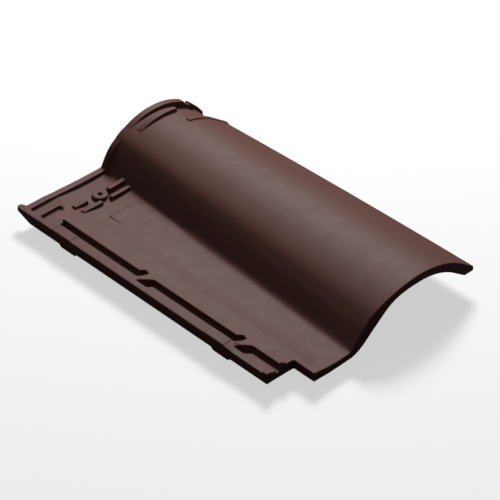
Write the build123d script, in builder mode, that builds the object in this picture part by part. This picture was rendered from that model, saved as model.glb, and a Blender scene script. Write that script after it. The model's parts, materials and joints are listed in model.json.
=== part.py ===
from build123d import *
from math import cos, radians, sin, tan
import os

# Interlocking clay roof tile, pressed and fired in one piece, in millimetres.
# It has a water pan on the left, a hollow roll on the right, a grooved side lock along
# the left edge and a ribbed head lock along the top edge.
# X runs across the slope of the roof, Y runs up the slope from foot to head, Z is up.
# The origin is under the middle of the tile, on the level that the hanging nibs reach.
# Distances across are counted from the left edge, distances along from the foot, and
# levels from the underside of the side lock.

# Overall size
length = 452.0
width = 295.0
nib_reach = 12.0

# How far cutters run past the clay, and how far added ribs are rooted in it
past = 5.0
root = 1.0

# Side lock: a flat land, the groove beside it and the inner lock edge
land_width = 14.0
land_level = 13.6
groove_width = 9.4
groove_depth = 6.5
lock_edge_level = 13.5
lock_foot_gap = 31.3
lock_foot_width = 40.5

# The land dips towards the foot, and has two low pads that bear on the next tile
foot_land_drop = 1.6
land_ramp_low = 86.0
land_ramp_high = 99.0
pad_height = 0.7
pad_length = 30.0
head_pad_from_head = 79.0
foot_pad_from_foot = 116.0
foot_stop_size = 7.0
foot_stop_height = 2.2

# Groove run: its head end, and the two diagonal bars that part it into three
groove_head_gap = 56.0
first_bar = 254.0
second_bar = 94.5
bar_shift = 6.0

# Water pan: levels of its upper face
pan_left = 50.0
pan_left_level = 9.7
pan_middle_level = 6.8
pan_right_level = 7.8
pan_middle_share = 0.62
pan_bottom_level = -2.0
pan_bottom_start = 65.0
pan_root_level = 0.0

# Roll. Seen from its crest to the left it is a wide crown arc, a tighter shoulder arc
# and a straight flank. It narrows from foot to head, so each size has two values.
crest_to_edge = 92.0
crest_level = 57.5
crest_wall = 10.5
crown_turn = 21.0
crown_radius_foot = 173.0
crown_radius_head = 117.0
shoulder_radius_foot = 40.0
shoulder_radius_head = 26.0
flank_angle_foot = 45.0
flank_angle_head = 55.0
crease_radius = 5.0

# Hollow of the roll: how far to the right of the crease its flank and shoulder lie
inner_start_level = -1.5
inner_start_foot = -2.0
inner_start_head = 4.0
inner_flank_foot = 29.0
inner_flank_head = 20.0
inner_flank_level = 14.0
inner_shoulder_foot = 53.0
inner_shoulder_head = 37.0
inner_shoulder_level = 34.4

# Covering edge of the roll, on the right
cover_level = 19.8
cover_angle = 36.0
cover_wall = 6.2
cover_width = 14.5
lip_rise = 0.5
cover_taper = 7.0
cover_taper_start = 138.0

# Rib under the covering edge, which runs with play in the side groove of the next tile
overlap = 47.0
lock_play = 1.5
cover_rib_root_level = 31.0
cover_rib_foot_gap = 5.0
cover_rib_head_gap = 8.0
cover_rib_above_bar = 14.0
cover_rib_below_first_bar = 20.0
cover_rib_below_second_bar = 16.0

# Head part, above the shoulder of the roll, which the next tile up covers
head_setback = 7.0
head_length = 44.5
head_right_gap = 11.0
head_right_level = 15.5
head_right_angle = 50.0
head_right_wall = 8.0
head_right_width = 9.0
recess_depth = 2.0

# Arch of the head ribs: a circle over the roll, and a straight part over the pan
arch_crest_to_edge = 88.0
arch_rise = 4.0
arch_span_left = 82.0
arch_left_level = 11.2
arch_root_level = 4.2
arch_right_level = 19.7
arch_wall = 10.5
arch_right_wall = 8.5
arch_lip_width = 9.0
edge_rib_width = 9.0
edge_rib_left = 30.0
notch_to_edge = 36.0
notch_width = 11.0
notch_depth = 5.0
notch_drop = 16.0
notch_angle = 38.0
crown_rib_width = 6.5
crown_rib_length = 58.0
crown_rib_to_edge = 67.0

# Slots behind the edge rib, and the block they are sunk in
block_root_level = 2.0
block_sink = 0.1
slot_start = 8.0
slot_width = 8.5
slot_floor_level = 9.7
crown_slot_length = 37.0
crown_slot_depth = 4.0
block_right = 38.0
block_slope_width = 15.0
block_level = 13.6
block_foot_gap = 37.0
block_slope_length = 22.0
pocket_length = 30.0
pocket_width = 7.5
pocket_shift = 5.0
ear_width = 8.0
ear_flare = 2.0
ear_root = 5.0
ear_underside_level = 5.0

# Broken weather bars across the pan, and the rim at the shoulder of the roll
bar_left = 49.0
upper_bar_gap = 49.5
upper_bar_level = 11.6
upper_bar_width = 6.5
upper_bar_stretches = ((0.0, 20.0), (52.5, 80.0))
lower_bar_gap = 62.5
lower_bar_level = 10.3
lower_bar_width = 6.0
lower_bar_stretches = ((2.0, 32.0), (45.5, 76.0))
rim_width = 6.0
rim_height = 2.2
rim_to_edge = 71.0

# Nail hole in its raised ring
nail_across = 88.5
nail_gap = 47.2
nail_radius = 2.75
nail_ring_radius = 9.5
nail_ring_level = 11.4

# Shallow field on the pan: flat, and proud of the pan at its left head corner
field_left = 70.5
field_right = 108.0
field_length = 37.0
field_head_gap = 85.0
field_corner_level = 8.9
field_foot_level = 7.2
field_right_level = 7.5

# Hanging nibs, with an upright face that bears on the batten
nib_gap = 54.0
nib_thickness = 14.0
nib_slope = 5.0
pan_nib_across = 56.0
pan_nib_width = 36.0
roll_nib_to_edge = 77.0
roll_nib_width = 34.0
roll_nib_root = 2.0

# Ribs of the underside
foot_rib_depth = 3.6
foot_rib_width = 8.0
foot_rib_left = 58.0
lower_foot_rib_from_foot = 10.0
lower_foot_rib_to_edge = 45.0
upper_foot_rib_from_foot = 32.0
upper_foot_rib_to_edge = 55.0
stack_rib_depth = 3.2
stack_rib_width = 24.0
stack_rib_length = 48.0
stack_rib_head_slope = 4.0
stack_rib_foot_slope = 5.0
stack_rib_head_gap = 91.0
stack_rib_foot_gap = 105.0
head_corner_gap = 23.0
head_corner_width = 46.0
head_corner_level = 8.8

# Places that follow from these
lock_edge = land_width + groove_width
crest_across = width - crest_to_edge
arch_crest_across = width - arch_crest_to_edge
arch_left = arch_crest_across - arch_span_left
arch_level = crest_level + arch_rise
notch_level = arch_level - notch_drop
head_end = length - head_setback
shoulder_end = head_end - head_length
rib_start = head_end - edge_rib_width
slot_foot_end = rib_start - slot_width
block_foot_end = length - block_foot_gap
groove_head_end = length - groove_head_gap
block_bottom = block_right + block_slope_width
pocket_along = block_foot_end - pocket_shift + pocket_width / 2
crown_rib_left = width - crown_rib_to_edge - crown_rib_length
crown_rib_right = width - crown_rib_to_edge
towards_foot = (0, -1, 0)


def across(distance):
    """X of a point at this distance from the left edge."""
    return distance - width / 2


def along(distance):
    """Y of a point at this distance from the foot."""
    return distance - length / 2


def height(level):
    """Z of a level counted from the underside of the side lock."""
    return level + nib_reach


def point(distance, level):
    """A point of a cross-section."""
    return (across(distance), height(level))


def plan(distance_across, distance_along):
    """A point of an outline seen from above."""
    return (across(distance_across), along(distance_along))


def section_plane(distance):
    """Upright plane across the tile, facing the foot."""
    return Plane(origin=(0, along(distance), 0), x_dir=(1, 0, 0), z_dir=(0, -1, 0))


def side_plane(distance):
    """Upright plane along the tile, facing right."""
    return Plane(origin=(across(distance), 0, 0), x_dir=(0, 1, 0), z_dir=(1, 0, 0))


def between(foot_value, head_value, distance):
    """A size that changes evenly from the foot to the head edge."""
    return foot_value + (head_value - foot_value) * distance / head_end


def side_radius(run, drop, angle):
    """Radius of an arc that leaves the crest level and turns by this angle, so that a
    straight side then comes down to the edge, run to the right and drop below."""
    slope = tan(radians(angle))
    return (run * slope - drop) / (sin(radians(angle)) * slope - 1 + cos(radians(angle)))


def tile_section(distance, in_head=False):
    """Cross-section of the tile at a distance from the foot. The head part has a lower
    right edge, because the next tile's covering edge lies over it."""
    crown_radius = between(crown_radius_foot, crown_radius_head, distance)
    shoulder_radius = between(shoulder_radius_foot, shoulder_radius_head, distance)
    flank_angle = between(flank_angle_foot, flank_angle_head, distance)
    taper_share = max(0, distance - cover_taper_start) / (shoulder_end - cover_taper_start)
    right = width - cover_taper * taper_share
    run = right - crest_across
    drop = crest_level - cover_level
    cover_radius = side_radius(run, drop, cover_angle)
    inner_drop = drop - crest_wall + cover_wall - lip_rise
    inner_radius = side_radius(run - cover_width, inner_drop, cover_angle)
    edge_top = point(right, cover_level)
    edge_bottom = point(right, cover_level - cover_wall)
    lip = point(right - cover_width, cover_level - cover_wall + lip_rise)
    cover_turn = cover_angle
    if in_head:
        right = width - head_right_gap
        edge_top = point(right, head_right_level)
        edge_bottom = point(right, head_right_level - head_right_wall)
        lip = point(right - head_right_width, head_right_level - head_right_wall + lip_rise)
        cover_turn = head_right_angle
    crest = point(crest_across, crest_level)
    inner_crest = point(crest_across, crest_level - crest_wall)
    with BuildSketch(section_plane(distance)) as section:
        with BuildLine():
            # crown, shoulder and flank of the roll, down to the crease with the pan
            crown = JernArc(crest, (-1, 0), crown_radius, crown_turn)
            shoulder = JernArc(crown @ 1, crown % 1, shoulder_radius, flank_angle - crown_turn)
            flank_drop = (shoulder @ 1).Y - height(pan_right_level)
            crease_x = (shoulder @ 1).X - flank_drop / tan(radians(flank_angle))
            crease = (crease_x, height(pan_right_level))
            crease_across = crease_x + width / 2
            Line(shoulder @ 1, crease)
            # hollow of the pan, the band beside it and the side lock
            pan_middle = pan_left + pan_middle_share * (crease_across - pan_left)
            ThreePointArc(
                crease,
                point(pan_middle, pan_middle_level),
                point(pan_left, pan_left_level),
            )
            Line(point(pan_left, pan_left_level), point(lock_edge, lock_edge_level))
            Line(point(lock_edge, lock_edge_level), point(0, land_level))
            Line(point(0, land_level), point(0, 0))
            # underside, back to the covering edge
            inner_start = point(
                crease_across + between(inner_start_foot, inner_start_head, distance),
                inner_start_level,
            )
            Line(point(0, 0), point(land_width, 0))
            Line(point(land_width, 0), point(pan_bottom_start, pan_bottom_level))
            Line(point(pan_bottom_start, pan_bottom_level), inner_start)
            Spline(
                inner_start,
                point(
                    crease_across + between(inner_flank_foot, inner_flank_head, distance),
                    inner_flank_level,
                ),
                point(
                    crease_across + between(inner_shoulder_foot, inner_shoulder_head, distance),
                    inner_shoulder_level,
                ),
                inner_crest,
                tangents=[(1, 0.1), (1, 0)],
            )
            inner_side = JernArc(inner_crest, (1, 0), inner_radius, -cover_angle)
            Line(inner_side @ 1, lip)
            # covering side
            Line(lip, edge_bottom)
            Line(edge_bottom, edge_top)
            side = JernArc(crest, (1, 0), cover_radius, -cover_turn)
            Line(side @ 1, edge_top)
        make_face()
        fillet(section.vertices().sort_by_distance(crease)[0], radius=crease_radius)
    return section.sketch


def rib(section, start, end, left, right, lift=0):
    """Piece of the section, moved up or down, as a rib across the tile."""
    moved_section = Pos(0, 0, lift) * section
    with BuildPart() as piece:
        with BuildSketch(section_plane(end)):
            add(moved_section)
            with Locations(((across(left) + across(right)) / 2, height(0))):
                Rectangle(right - left, 4 * crest_level, mode=Mode.INTERSECT)
        extrude(amount=end - start)
    return piece.part


def recess(section, start, end, left, right, depth):
    """Cutter that sinks this stretch of the section's upper face by a depth."""
    moved_section = Pos(0, 0, -depth) * section
    with BuildPart() as cutter:
        with BuildSketch(section_plane(end)):
            with Locations(((across(left) + across(right)) / 2, height(crest_level))):
                Rectangle(right - left, 2 * crest_level)
            add(moved_section, mode=Mode.SUBTRACT)
        extrude(amount=end - start)
    return cutter.part


def groove(outline):
    """Stretch of the side groove with the given outline, from its floor upwards."""
    with BuildPart() as cutter:
        with BuildSketch(Plane.XY.offset(height(land_level - groove_depth))):
            with BuildLine():
                Polyline([plan(x, y) for x, y in outline], close=True)
            make_face()
        extrude(amount=2 * groove_depth)
    return cutter.part


# Ends of a stretch of groove. Above a diagonal bar it turns towards the pan, and below
# the bar it comes back in from the land.
def end_above_bar(bar):
    return [
        (lock_edge, bar + 8),
        (lock_edge + 2, bar + 7.5),
        (lock_edge + bar_shift, bar + 4),
        (lock_edge + 4, bar - 3.5),
        (land_width + bar_shift, bar - 1),
        (land_width, bar + 3.5),
    ]


def start_below_bar(bar):
    return [
        (land_width, bar - 24),
        (land_width - bar_shift + 1, bar - 20),
        (land_width - bar_shift + 1, bar - 1.5),
        (land_width, bar - 6.5),
        (lock_edge, bar - 17),
    ]


def corner_section(distance, slope_left, slope_left_level, slope_right, slope_right_level):
    """Section of the block in the head corner: level, then sloping into the pan."""
    with BuildSketch(section_plane(distance)) as section:
        with BuildLine():
            Polyline(
                point(0, block_root_level),
                point(0, land_level),
                point(slope_left, slope_left_level),
                point(slope_right, slope_right_level),
                point(slope_right, block_root_level),
                close=True,
            )
        make_face()
    return section.sketch


foot_section = tile_section(0)
half_section = tile_section(shoulder_end / 2)
shoulder_section = tile_section(shoulder_end)
head_start_section = tile_section(shoulder_end, in_head=True)
head_section = tile_section(head_end, in_head=True)

# Arch of the head ribs, with an inner line that stays within the wall of the roll
arch_right = width - head_right_gap
arch_crest = point(arch_crest_across, arch_level)
arch_inner_crest = point(arch_crest_across, arch_level - arch_wall)
arch_root = point(arch_left + arch_wall, arch_root_level)
arch_lip = point(arch_right - arch_lip_width, arch_right_level - arch_right_wall)
with BuildSketch(section_plane(head_end)) as arch:
    with BuildLine():
        Polyline(
            arch_root,
            point(edge_rib_left, arch_root_level),
            point(edge_rib_left, block_level - 2 * block_sink),
            point(nail_across, arch_left_level),
            point(arch_left, arch_left_level),
        )
        TangentArc(arch_crest, point(arch_left, arch_left_level), tangent=(-1, 0))
        TangentArc(arch_crest, point(arch_right, arch_right_level), tangent=(1, 0))
        Polyline(
            point(arch_right, arch_right_level),
            point(arch_right, arch_right_level - arch_right_wall),
            arch_lip,
        )
        TangentArc(arch_inner_crest, arch_lip, tangent=(1, 0))
        TangentArc(arch_inner_crest, arch_root, tangent=(-1, 0))
    make_face()
arch_section = arch.sketch

side_groove = [
    groove(
        [(lock_edge, groove_head_end)]
        + end_above_bar(first_bar)
        + [(land_width, groove_head_end - 6), (land_width + 5, groove_head_end - 6)]
    ),
    groove(start_below_bar(first_bar) + end_above_bar(second_bar)),
    groove(
        start_below_bar(second_bar)
        + [(lock_edge, lock_foot_gap - 1), (land_width, lock_foot_gap - 1)]
    ),
]

cross_ribs = [
    # rib along the head edge, and a short one on the crown
    rib(arch_section, rib_start, head_end, edge_rib_left, arch_right),
    rib(
        arch_section,
        slot_foot_end - crown_rib_width,
        slot_foot_end,
        crown_rib_left,
        crown_rib_right,
    ),
    # rim at the shoulder of the roll
    rib(
        shoulder_section,
        shoulder_end - rim_width,
        shoulder_end,
        width - rim_to_edge,
        width - cover_taper,
        rim_height,
    ),
    # foot ribs that hook over the head ribs of the tile below
    rib(
        foot_section,
        lower_foot_rib_from_foot,
        lower_foot_rib_from_foot + foot_rib_width,
        foot_rib_left,
        width - lower_foot_rib_to_edge,
        -foot_rib_depth,
    ),
    rib(
        foot_section,
        upper_foot_rib_from_foot,
        upper_foot_rib_from_foot + foot_rib_width,
        foot_rib_left,
        width - upper_foot_rib_to_edge,
        -foot_rib_depth,
    ),
]

head_recesses = [
    # the covering edge of the neighbouring tile lies in this one
    recess(head_section, shoulder_end, rib_start, crown_rib_right, width, recess_depth),
    # slot behind the edge rib, to the right of the crest
    recess(
        head_section,
        slot_foot_end,
        rib_start,
        crown_rib_right,
        crown_rib_right + crown_slot_length,
        crown_slot_depth,
    ),
]

groove_centre = (land_width + lock_edge) / 2
cover_rib_across = width - overlap + groove_centre
cover_rib_width = groove_width - 2 * lock_play
cover_rib_level = land_level - groove_depth + lock_play
cover_rib_stretches = [
    (lock_foot_gap + cover_rib_foot_gap, second_bar - cover_rib_below_second_bar),
    (second_bar + cover_rib_above_bar, first_bar - cover_rib_below_first_bar),
    (first_bar + cover_rib_above_bar, groove_head_end - cover_rib_head_gap),
]

with BuildPart() as tile:
    # body: the roll narrows a little from foot to shoulder, and more in the head part
    add(foot_section)
    add(half_section)
    add(shoulder_section)
    loft()
    add(head_start_section)
    add(head_section)
    loft()

    # block in the head corner: it grows out of the band beside the side lock
    add(
        corner_section(
            block_foot_end - block_slope_length,
            lock_edge,
            lock_edge_level - block_sink,
            pan_left,
            pan_left_level - block_sink,
        )
    )
    add(corner_section(block_foot_end, block_right, block_level, block_bottom, pan_middle_level))
    loft(ruled=True)
    add(corner_section(head_end, block_right, block_level, block_bottom, pan_middle_level))
    extrude(amount=head_end - block_foot_end, dir=towards_foot)

    # ear that runs on past the head edge
    with BuildSketch(Plane.XY.offset(height(ear_underside_level))):
        with BuildLine():
            Polyline(
                plan(0, head_end - ear_root),
                plan(0, length - ear_flare),
                plan(ear_flare, length),
                plan(ear_width - ear_flare / 2, length),
                plan(ear_width + ear_flare, head_end - ear_flare / 2),
                plan(ear_width + ear_flare, head_end - ear_root),
                close=True,
            )
        make_face()
    extrude(amount=land_level - ear_underside_level)

    # ribs across the tile, above and below, and the recesses of the head part
    for piece in cross_ribs:
        add(piece)
    for cutter in head_recesses:
        add(cutter, mode=Mode.SUBTRACT)

    # notch in the edge rib, on the right of its crest
    with BuildSketch(section_plane(head_end)):
        with Locations(point(width - notch_to_edge, notch_level)):
            Rectangle(notch_width, notch_depth, rotation=-notch_angle)
    extrude(amount=edge_rib_width, mode=Mode.SUBTRACT)

    # slot behind the edge rib, and the pocket below it
    with BuildSketch(Plane.XY.offset(height(slot_floor_level))):
        with BuildLine():
            Polyline(
                plan(slot_start, slot_foot_end),
                plan(block_bottom, slot_foot_end),
                plan(block_bottom, rib_start),
                plan(slot_start, rib_start),
                close=True,
            )
        make_face()
        with Locations(plan(slot_start + pocket_length / 2, pocket_along)):
            Rectangle(pocket_length, pocket_width)
    extrude(amount=block_level - slot_floor_level + past, mode=Mode.SUBTRACT)

    # side groove
    for stretch in side_groove:
        add(stretch, mode=Mode.SUBTRACT)

    # broken weather bars, level on top, that run into the pan or the flank of the roll
    for gap, bar_width, bar_level, stretches in (
        (upper_bar_gap, upper_bar_width, upper_bar_level, upper_bar_stretches),
        (lower_bar_gap, lower_bar_width, lower_bar_level, lower_bar_stretches),
    ):
        with BuildSketch(Plane.XY.offset(height(pan_root_level))):
            for left, right in stretches:
                with Locations(
                    plan(bar_left + (left + right) / 2, length - gap + bar_width / 2)
                ):
                    Rectangle(right - left, bar_width)
        extrude(amount=bar_level - pan_root_level)

    # shallow field on the pan
    for distance, corner_level in (
        (length - field_head_gap, field_corner_level),
        (length - field_head_gap - field_length, field_foot_level),
    ):
        with BuildSketch(section_plane(distance)):
            with BuildLine():
                Polyline(
                    point(field_left, pan_root_level),
                    point(field_left, corner_level),
                    point(field_right, field_right_level),
                    point(field_right, pan_root_level),
                    close=True,
                )
            make_face()
    loft(ruled=True)

    # raised ring and nail hole
    with BuildSketch(Plane.XY.offset(height(pan_root_level))):
        with Locations(plan(nail_across, length - nail_gap)):
            Circle(nail_ring_radius)
    extrude(amount=nail_ring_level - pan_root_level)

    # hanging nibs
    for nib_across, nib_width, root_level in (
        (pan_nib_across, pan_nib_width, pan_root_level),
        (width - roll_nib_to_edge, roll_nib_width, crest_level - crest_wall + roll_nib_root),
    ):
        nib_face = along(length - nib_gap)
        with BuildSketch(side_plane(nib_across - nib_width / 2)):
            with BuildLine():
                Polyline(
                    (nib_face, height(-nib_reach)),
                    (nib_face + nib_thickness - nib_slope, height(-nib_reach)),
                    (nib_face + nib_thickness, height(root_level)),
                    (nib_face, height(root_level)),
                    close=True,
                )
            make_face()
        extrude(amount=nib_width)

    # stacking ribs under the side lock
    half_rib = stack_rib_width / 2
    with BuildSketch(side_plane(0)):
        for centre in (length - stack_rib_head_gap, stack_rib_foot_gap):
            with BuildLine():
                Polyline(
                    (along(centre + half_rib + stack_rib_head_slope), height(root)),
                    (along(centre + half_rib), height(-stack_rib_depth)),
                    (along(centre - half_rib), height(-stack_rib_depth)),
                    (along(centre - half_rib - stack_rib_foot_slope), height(root)),
                    close=True,
                )
            make_face()
    extrude(amount=stack_rib_length)

    # rib under the covering edge, which runs in the groove of the next tile
    with BuildSketch(Plane.XY.offset(height(cover_rib_level))):
        for start, end in cover_rib_stretches:
            with Locations(plan(cover_rib_across, (start + end) / 2)):
                Rectangle(cover_rib_width, end - start)
    extrude(amount=cover_rib_root_level - cover_rib_level)

    # low pads on the land
    with BuildSketch(Plane.XY.offset(height(land_level - root))):
        with Locations(
            plan(land_width / 2, length - head_pad_from_head),
            plan(land_width / 2, foot_pad_from_foot),
        ):
            Rectangle(land_width, pad_length)
    extrude(amount=root + pad_height)

    # the side lock stops short of the foot, and its land dips there
    with BuildSketch(Plane.XY.offset(height(-nib_reach))):
        with Locations(plan((lock_foot_width - past) / 2, (lock_foot_gap - past) / 2)):
            Rectangle(lock_foot_width + past, lock_foot_gap + past)
    extrude(amount=nib_reach + land_level + past, mode=Mode.SUBTRACT)
    with BuildSketch(side_plane(-past)):
        with BuildLine():
            Polyline(
                (along(0), height(land_level - foot_land_drop)),
                (along(land_ramp_low), height(land_level - foot_land_drop)),
                (along(land_ramp_high), height(land_level)),
                (along(land_ramp_high), height(land_level + past)),
                (along(0), height(land_level + past)),
                close=True,
            )
        make_face()
    extrude(amount=land_width + past, mode=Mode.SUBTRACT)

    # stop at the foot end of the land
    with BuildSketch(Plane.XY.offset(height(land_level - foot_land_drop - root))):
        with Locations(plan(foot_stop_size / 2, lock_foot_gap + foot_stop_size / 2)):
            Rectangle(foot_stop_size, foot_stop_size)
    extrude(amount=root + foot_stop_height)

    # underside of the head corner thins out
    with BuildSketch(side_plane(-past)):
        with BuildLine():
            Polyline(
                (along(length - head_corner_gap), height(0)),
                (along(length + root), height(head_corner_level)),
                (along(length + root), height(-past)),
                (along(length - head_corner_gap), height(-past)),
                close=True,
            )
        make_face()
    extrude(amount=head_corner_width + past, mode=Mode.SUBTRACT)

    # nail hole, straight through
    with BuildSketch(Plane.XY.offset(height(-nib_reach))):
        with Locations(plan(nail_across, length - nail_gap)):
            Circle(nail_radius)
    extrude(amount=nib_reach + nail_ring_level + past, mode=Mode.SUBTRACT)

tile.part.label = "roof_tile"
os.makedirs("parts", exist_ok=True)
export_step(tile.part, "parts/roof_tile.step")
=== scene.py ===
# %% [markdown]
# # A clay roof tile in Blender
# The tile was drawn first as a solid model at its real size. This script loads that
# solid, gives it the soft edges of pressed clay and the satin engobe of the real tile,
# and sets up a small studio around it. Everything is in metres. X runs across the tile,
# Y runs from its foot to its head, and the floor is at Z 0.

# %% Load the tile
import bpy
import json
import math
from mathutils import Matrix, Vector

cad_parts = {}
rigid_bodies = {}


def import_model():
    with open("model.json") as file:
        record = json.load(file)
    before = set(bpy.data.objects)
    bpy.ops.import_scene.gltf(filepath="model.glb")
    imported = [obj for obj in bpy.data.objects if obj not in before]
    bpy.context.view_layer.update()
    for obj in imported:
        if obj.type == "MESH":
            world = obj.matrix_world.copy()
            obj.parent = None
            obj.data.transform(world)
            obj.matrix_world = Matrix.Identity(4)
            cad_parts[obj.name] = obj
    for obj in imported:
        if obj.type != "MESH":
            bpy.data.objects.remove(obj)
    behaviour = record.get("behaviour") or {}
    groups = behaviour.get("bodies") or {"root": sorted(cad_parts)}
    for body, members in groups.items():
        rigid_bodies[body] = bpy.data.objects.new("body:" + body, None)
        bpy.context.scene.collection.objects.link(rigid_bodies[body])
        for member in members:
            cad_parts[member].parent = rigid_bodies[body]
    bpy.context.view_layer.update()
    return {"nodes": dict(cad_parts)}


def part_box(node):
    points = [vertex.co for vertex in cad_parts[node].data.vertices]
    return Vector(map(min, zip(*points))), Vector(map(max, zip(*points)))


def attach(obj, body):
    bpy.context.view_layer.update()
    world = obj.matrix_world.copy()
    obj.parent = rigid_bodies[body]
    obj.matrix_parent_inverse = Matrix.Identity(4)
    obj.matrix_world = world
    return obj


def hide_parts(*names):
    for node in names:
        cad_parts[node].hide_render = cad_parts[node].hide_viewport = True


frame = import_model()
low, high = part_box("roof_tile")
print("tile from", [round(v, 4) for v in low], "to", [round(v, 4) for v in high])

# %% [markdown]
# ## The skin of the tile
# A roof tile is pressed from soft clay between two moulds, then dipped in engobe and
# fired. Press, slip and firing leave no sharp edge anywhere: every rib, slot and rim is
# rounded by about a millimetre, inside corners as well as outside ones. A bevel would
# have to be asked for edge by edge and would fail where ribs run into the curved roll.
# A voxel remesh treats the whole tile alike, so the tile is rebuilt from small voxels,
# smoothed like a worn edge, and thinned again where it is plain.
#
# The solid itself stays as it is. The work is done on a copy. Its triangles don't share
# their points yet, so points at the same place are merged first.

# %% Copy the solid and weld its triangles
weld_distance = 0.00001

tile_node = frame["nodes"]["roof_tile"]
bpy.ops.object.select_all(action="DESELECT")
tile_node.select_set(True)
bpy.context.view_layer.objects.active = tile_node
bpy.ops.object.duplicate()
skin = bpy.context.active_object
skin.name = "tile_skin"
bpy.ops.object.parent_clear(type="CLEAR_KEEP_TRANSFORM")
bpy.ops.object.mode_set(mode="EDIT")
bpy.ops.mesh.select_all(action="SELECT")
bpy.ops.mesh.remove_doubles(threshold=weld_distance)
bpy.ops.object.mode_set(mode="OBJECT")
print("welded copy:", len(skin.data.vertices), "points")

# %% [markdown]
# Later steps have to know where the creases are: the edges of ribs and slots, the rim,
# the line between pan and roll. After the voxels this can't be told from the mesh any
# more, so it is kept now. A second copy loses everything but its sharp edges.

# %% Keep the creases of the solid as a guide
crease_angle = math.radians(18)

bpy.ops.object.duplicate()
creases = bpy.context.active_object
creases.name = "creases"
bpy.ops.object.mode_set(mode="EDIT")
bpy.ops.mesh.select_mode(type="EDGE")
bpy.ops.mesh.select_all(action="DESELECT")
bpy.ops.mesh.edges_select_sharp(sharpness=crease_angle)
bpy.ops.mesh.select_all(action="INVERT")
bpy.ops.mesh.delete(type="EDGE")
bpy.ops.object.mode_set(mode="OBJECT")
print("creases:", len(creases.data.edges), "edges")

# %% [markdown]
# The four weather bars around the nail hole throw strong shadows on the real tile. A
# block goes over each of them, so they stand about a millimetre prouder than in the
# solid. One more block is the small stop beside the foot end of the groove. All of them
# overlap the clay, and the voxels then melt them into one skin with it.

# %% Stand the weather bars prouder, and add the stop
blocks = (
    # left, right, foot side, head side and top, in metres
    (-0.0985, -0.0785, 0.1765, 0.1830, 0.0248),
    (-0.0460, -0.0200, 0.1765, 0.1830, 0.0248),
    (-0.0965, -0.0665, 0.1635, 0.1695, 0.0235),
    (-0.0530, -0.0240, 0.1635, 0.1695, 0.0235),
    (-0.1238, -0.1198, -0.1946, -0.1905, 0.0282),
)
block_bottom = 0.019

bpy.ops.object.select_all(action="DESELECT")
for left, right, foot_side, head_side, top in blocks:
    bpy.ops.mesh.primitive_cube_add(
        size=1,
        location=((left + right) / 2, (foot_side + head_side) / 2, (block_bottom + top) / 2),
        scale=(right - left, head_side - foot_side, top - block_bottom),
    )
    skin.select_set(True)
    bpy.context.view_layer.objects.active = skin
    bpy.ops.object.join()
print("with blocks:", len(skin.data.vertices), "points")

# %% [markdown]
# The voxel size is a trade. Voxels a little under a millimetre, with the smoothing that
# follows, round an edge by about as much as on the real tile. Smaller ones would keep the
# edges sharper and take longer, and larger ones would lose the fine ribs.

# %% Rebuild the copy from voxels
voxel = 0.0008


def apply_modifier(piece, kind, **settings):
    """Adds one modifier with these settings and applies it."""
    modifier = piece.modifiers.new(kind.lower(), kind)
    for name, value in settings.items():
        setattr(modifier, name, value)
    bpy.ops.object.select_all(action="DESELECT")
    piece.select_set(True)
    bpy.context.view_layer.objects.active = piece
    bpy.ops.object.modifier_apply(modifier=modifier.name)


apply_modifier(skin, "REMESH", mode="VOXEL", voxel_size=voxel)
print("rebuilt with", len(skin.data.polygons), "faces")

# %% [markdown]
# The solid came in as flat triangles, and on the wide roll each of them is large enough
# to break up a highlight. So the plain stretches are smoothed strongly. A weight keeps
# this away from the creases: it is nothing beside a crease and grows to full strength a
# finger's width away.

# %% Smooth the plain stretches
plain_start = 0.002
plain_end = 0.012
plain_rounds = 150


def weigh_by_distance(piece, group_name, target, near, far, falloff):
    """Gives each point a weight from its distance to the edges of the target: nothing
    at the distance near, and one at the distance far. Near may be the larger of them."""
    group = piece.vertex_groups.new(name=group_name)
    group.add(list(range(len(piece.data.vertices))), 1.0, "REPLACE")
    apply_modifier(
        piece,
        "VERTEX_WEIGHT_PROXIMITY",
        vertex_group=group_name,
        target=target,
        proximity_mode="GEOMETRY",
        proximity_geometry={"EDGE"},
        min_dist=near,
        max_dist=far,
        falloff_type=falloff,
    )


weigh_by_distance(skin, "plain", creases, plain_start, plain_end, "SMOOTH")
apply_modifier(skin, "SMOOTH", factor=0.5, iterations=plain_rounds, vertex_group="plain")
bpy.data.objects.remove(creases)
print("plain stretches smoothed in", plain_rounds, "rounds")

# %% [markdown]
# The solid has a straight flank from the pan up to the shoulder of the roll. On the real
# tile it is a little full in the middle, and light that skims the flank shows even so
# little, as a slow change from dark to light. In the same way the band beside the side
# lock meets the pan in a faint ridge. Both are lifted along a line: each point gets a
# weight from its distance to the line, and a displacement moves it up by that weight.

# %% Lift the flank and the ridge beside the side lock


def lift_along(piece, name, start, end, reach, lift, falloff):
    """Lifts the surface along a straight line, less and less until the reach."""
    mesh = bpy.data.meshes.new(name)
    mesh.from_pydata([start, end], [(0, 1)], [])
    line = bpy.data.objects.new(name, mesh)
    bpy.context.collection.objects.link(line)
    weigh_by_distance(piece, name, line, reach, 0.0, falloff)
    apply_modifier(
        piece, "DISPLACE", vertex_group=name, direction="Z", strength=lift, mid_level=0.0
    )
    bpy.data.objects.remove(line)
    print(name, "lifted by up to", lift, "metres")


flank_foot = (-0.0315, -0.226, 0.0379)
flank_head = (-0.0073, 0.219, 0.0398)
lift_along(skin, "flank", flank_foot, flank_head, reach=0.030, lift=0.0024, falloff="SMOOTH")

ridge_foot = (-0.0975, -0.194, 0.0217)
ridge_head = (-0.0975, 0.160, 0.0217)
lift_along(skin, "ridge", ridge_foot, ridge_head, reach=0.018, lift=0.0010, falloff="LINEAR")

# %% [markdown]
# A few light rounds of smoothing over the whole skin take the steps of the voxels away.
# They are also what rounds the edges, outside and inside alike.

# %% Soften every edge
soften_rounds = 3

apply_modifier(skin, "SMOOTH", factor=0.5, iterations=soften_rounds)
print("whole skin softened in", soften_rounds, "rounds")

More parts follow.
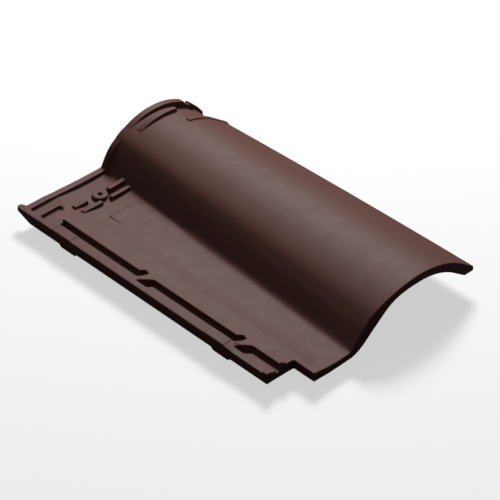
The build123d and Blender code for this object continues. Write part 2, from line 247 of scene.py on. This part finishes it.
# %% [markdown]
# The voxels leave as many faces on the plain roll as on the finest rib. Decimation
# takes faces away where they carry the least shape, until the budget is met.

# %% Thin the mesh where it is plain
triangle_budget = 190000

apply_modifier(skin, "TRIANGULATE")
rebuilt = len(skin.data.polygons)
apply_modifier(skin, "DECIMATE", ratio=min(1.0, triangle_budget / rebuilt))
skin.vertex_groups.clear()
bpy.ops.object.shade_smooth()
print("thinned from", rebuilt, "to", len(skin.data.polygons), "triangles")

# %% [markdown]
# ## The engobe
# The brown coat is a thin slip with a satin sheen: no glass-like gloss, but broad soft
# highlights. Its colour drifts a little from place to place, and close up it has a fine
# grain. Both come from noise in the tile's own coordinates, so they stay on the tile
# from every side. The grain is far too fine for geometry, so it is bump.

# %% Mix the engobe
engobe_light = (0.142, 0.056, 0.044, 1.0)
engobe_dark = (0.118, 0.044, 0.034, 1.0)
drift_scale = 14.0
sheen_scale = 60.0
sheen_roughness = (0.5, 0.6)
grain_scale = 900.0
grain_strength = 0.12
grain_depth = 0.0004
gloss = 0.17


def add_noise(tree, place, scale, detail):
    """Noise in the object's own coordinates."""
    noise = tree.nodes.new("ShaderNodeTexNoise")
    noise.inputs["Scale"].default_value = scale
    noise.inputs["Detail"].default_value = detail
    tree.links.new(place.outputs["Object"], noise.inputs["Vector"])
    return noise


engobe = bpy.data.materials.new("engobe")
engobe.use_nodes = True
tree = engobe.node_tree
coat = tree.nodes["Principled BSDF"]
place = tree.nodes.new("ShaderNodeTexCoord")

drift = add_noise(tree, place, drift_scale, detail=3.0)
shade = tree.nodes.new("ShaderNodeMix")
shade.data_type = "RGBA"
shade.inputs["A"].default_value = engobe_dark
shade.inputs["B"].default_value = engobe_light
tree.links.new(drift.outputs["Fac"], shade.inputs["Factor"])
tree.links.new(shade.outputs["Result"], coat.inputs["Base Color"])

sheen = add_noise(tree, place, sheen_scale, detail=4.0)
sheen_range = tree.nodes.new("ShaderNodeMapRange")
sheen_range.inputs["To Min"].default_value = sheen_roughness[0]
sheen_range.inputs["To Max"].default_value = sheen_roughness[1]
tree.links.new(sheen.outputs["Fac"], sheen_range.inputs["Value"])
tree.links.new(sheen_range.outputs["Result"], coat.inputs["Roughness"])

grain = add_noise(tree, place, grain_scale, detail=3.0)
bump = tree.nodes.new("ShaderNodeBump")
bump.inputs["Strength"].default_value = grain_strength
bump.inputs["Distance"].default_value = grain_depth
tree.links.new(grain.outputs["Fac"], bump.inputs["Height"])
tree.links.new(bump.outputs["Normal"], coat.inputs["Normal"])

coat.inputs["Specular IOR Level"].default_value = gloss

skin.data.materials.clear()
skin.data.materials.append(engobe)
tile_node.data.materials.clear()
tile_node.data.materials.append(engobe)
print("engobe mixed from", len(tree.nodes), "shader nodes")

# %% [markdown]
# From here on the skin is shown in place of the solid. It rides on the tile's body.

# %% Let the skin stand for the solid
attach(skin, "root")
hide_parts("roof_tile")
print(skin.name, "stands for", tile_node.name)

# %% [markdown]
# ## The studio
# The tile lies on a plain pale floor. The camera sees that floor as nearly white, as in
# a catalogue picture, but the tile itself sees a darker floor, so little light comes
# back up from below and the steep side of the roll stays deep brown.

# %% Lay the floor
floor_radius = 9.0
floor_bounce = (0.10, 0.10, 0.10, 1)
floor_look = (0.5, 0.5, 0.5, 1)
floor_glow = 0.6

bpy.ops.object.select_all(action="DESELECT")
bpy.ops.mesh.primitive_circle_add(
    vertices=96, radius=floor_radius, fill_type="NGON", location=(0, 0, 0)
)
floor = bpy.context.active_object
floor.name = "floor"

paper = bpy.data.materials.new("paper")
paper.use_nodes = True
tree = paper.node_tree
tree.nodes.clear()
output = tree.nodes.new("ShaderNodeOutputMaterial")
rays = tree.nodes.new("ShaderNodeLightPath")
dull = tree.nodes.new("ShaderNodeBsdfDiffuse")
dull.inputs["Color"].default_value = floor_bounce
pale = tree.nodes.new("ShaderNodeBsdfDiffuse")
pale.inputs["Color"].default_value = floor_look
glow = tree.nodes.new("ShaderNodeEmission")
glow.inputs["Strength"].default_value = floor_glow
lit = tree.nodes.new("ShaderNodeAddShader")
mix = tree.nodes.new("ShaderNodeMixShader")
tree.links.new(pale.outputs["BSDF"], lit.inputs[0])
tree.links.new(glow.outputs["Emission"], lit.inputs[1])
tree.links.new(rays.outputs["Is Camera Ray"], mix.inputs["Fac"])
tree.links.new(dull.outputs["BSDF"], mix.inputs[1])
tree.links.new(lit.outputs["Shader"], mix.inputs[2])
tree.links.new(mix.outputs["Shader"], output.inputs["Surface"])
floor.data.materials.append(paper)
print("floor laid with a radius of", floor_radius, "metres")

# %% [markdown]
# ## Light
# One large soft lamp behind and to the right of the tile does nearly all the work. Its
# light skims the pan and the crest towards the camera, which gives the broad sheen, and
# leaves every face that looks at the camera dark. A weak lamp on the camera's side and
# a weak grey sky keep some shape in those dark faces. Reflections see a brighter sky,
# which gives the far side of the roll its faint sheen.

# %% Hang the lamps
middle = Vector(((low[0] + high[0]) / 2, (low[1] + high[1]) / 2, high[2] / 2))


def hang_lamp(name, azimuth, elevation, distance, size, power):
    """A square soft lamp that looks at the tile. Azimuth 0 stands at +X, 90 at +Y."""
    a = math.radians(azimuth)
    e = math.radians(elevation)
    outwards = Vector((math.cos(a) * math.cos(e), math.sin(a) * math.cos(e), math.sin(e)))
    bpy.ops.object.light_add(type="AREA", location=middle + distance * outwards)
    lamp = bpy.context.active_object
    lamp.name = name
    lamp.data.shape = "SQUARE"
    lamp.data.size = size
    lamp.data.energy = power
    lamp.rotation_euler = outwards.to_track_quat("Z", "Y").to_euler()
    print(name, "hangs at", [round(v, 3) for v in lamp.location])


hang_lamp("key_lamp", azimuth=42, elevation=44, distance=2.4, size=0.7, power=56)
hang_lamp("fill_lamp", azimuth=215, elevation=35, distance=3.0, size=2.0, power=0.4)

# %% [markdown]
# The backdrop is white, but only for the camera. For the tile the sky is nearly dark, and
# only rays that leave a surface as a reflection find some extra brightness in it. One
# multiply-and-add node works out both strengths from the kind of ray.

# %% Paint the sky
sky_color = (0.9, 0.93, 1.0, 1)
sky_light = 0.035
sky_extra_in_reflections = 0.35

world = bpy.data.worlds.new("studio")
world.use_nodes = True
bpy.context.scene.world = world
tree = world.node_tree
tree.nodes.clear()
output = tree.nodes.new("ShaderNodeOutputWorld")
rays = tree.nodes.new("ShaderNodeLightPath")
sky = tree.nodes.new("ShaderNodeBackground")
sky.inputs["Color"].default_value = sky_color
sky_strength = tree.nodes.new("ShaderNodeMath")
sky_strength.operation = "MULTIPLY_ADD"
sky_strength.inputs[1].default_value = sky_extra_in_reflections
sky_strength.inputs[2].default_value = sky_light
tree.links.new(rays.outputs["Is Glossy Ray"], sky_strength.inputs[0])
tree.links.new(sky_strength.outputs["Value"], sky.inputs["Strength"])
white = tree.nodes.new("ShaderNodeBackground")
white.inputs["Strength"].default_value = 1.0
mix = tree.nodes.new("ShaderNodeMixShader")
tree.links.new(rays.outputs["Is Camera Ray"], mix.inputs["Fac"])
tree.links.new(sky.outputs["Background"], mix.inputs[1])
tree.links.new(white.outputs["Background"], mix.inputs[2])
tree.links.new(mix.outputs["Shader"], output.inputs["Surface"])
print("sky strength", sky_light, "and", sky_light + sky_extra_in_reflections, "in reflections")

# %% [markdown]
# ## The camera
# The picture was taken from the lower left, above the foot of the tile, with a long
# lens. The place and the lens below come from lining up the tile's corners with the
# picture, so the render and the picture can be laid over each other.

# %% Set up the camera
camera_place = Vector((-1.57817, -1.65777, 1.78065))
camera_turn = math.radians(-43.85)
camera_tilt = math.radians(37.76)
lens_mm = 180.6

bpy.ops.object.camera_add(location=camera_place)
camera = bpy.context.active_object
camera.data.lens = lens_mm
camera.data.sensor_width = 36.0
camera.data.clip_end = 100.0
right = Vector((math.cos(camera_turn), math.sin(camera_turn), 0))
back = Vector(
    (
        math.sin(camera_turn) * math.cos(camera_tilt),
        -math.cos(camera_turn) * math.cos(camera_tilt),
        math.sin(camera_tilt),
    )
)
up = back.cross(right)
camera.rotation_euler = Matrix((right, up, back)).transposed().to_euler()
bpy.context.scene.camera = camera
bpy.context.scene.view_settings.view_transform = "Standard"
print("camera at", list(camera_place), "with a lens of", lens_mm, "mm")
